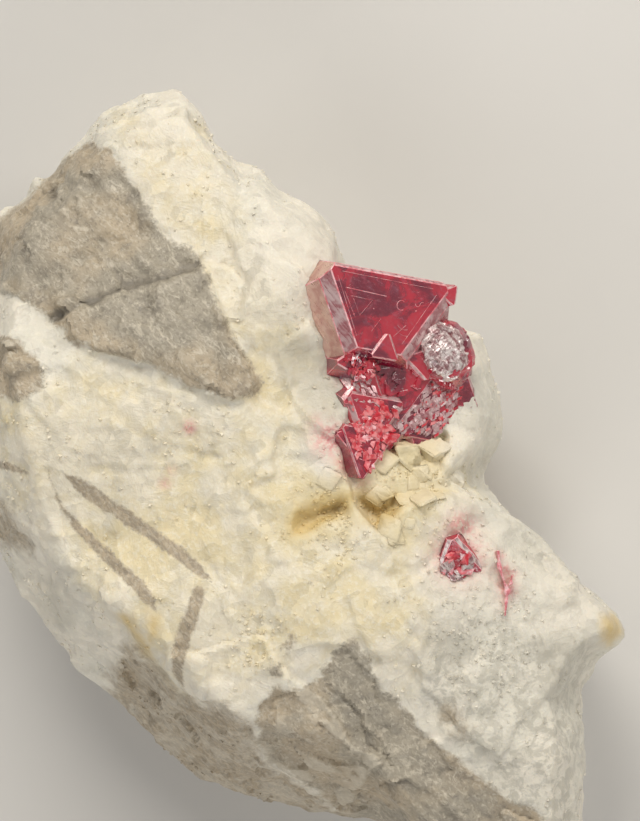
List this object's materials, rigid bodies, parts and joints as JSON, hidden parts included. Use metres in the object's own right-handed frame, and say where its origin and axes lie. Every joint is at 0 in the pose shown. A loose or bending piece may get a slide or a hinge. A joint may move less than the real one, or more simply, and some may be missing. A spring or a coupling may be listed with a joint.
{
  "type": "cinnabar on dolomite mineral specimen",
  "caption": "Broken block of white vein dolomite with grey host rock, carrying a twinned group of red cinnabar crystals; lies on its flat back.",
  "frame": {"origin": "middle of the bounding box, on the surface that the flat back lies on", "axes": "+X to the right over the crystal face, +Y up the face along the specimen's longest side, +Z out of the face"},
  "size_m": [0.0574, 0.0706, 0.0303],
  "materials": {
    "dolomite": "broken, sugary and matt with bright cleavage faces",
    "cinnabar": "deep red translucent crystal with an adamantine lustre"
  },
  "bodies": {
    "root": {"dolomite_matrix": "dolomite", "cinnabar_group": "cinnabar", "cinnabar_small_crystal": "cinnabar", "cinnabar_blade": "cinnabar"}
  },
  "joints": []
}
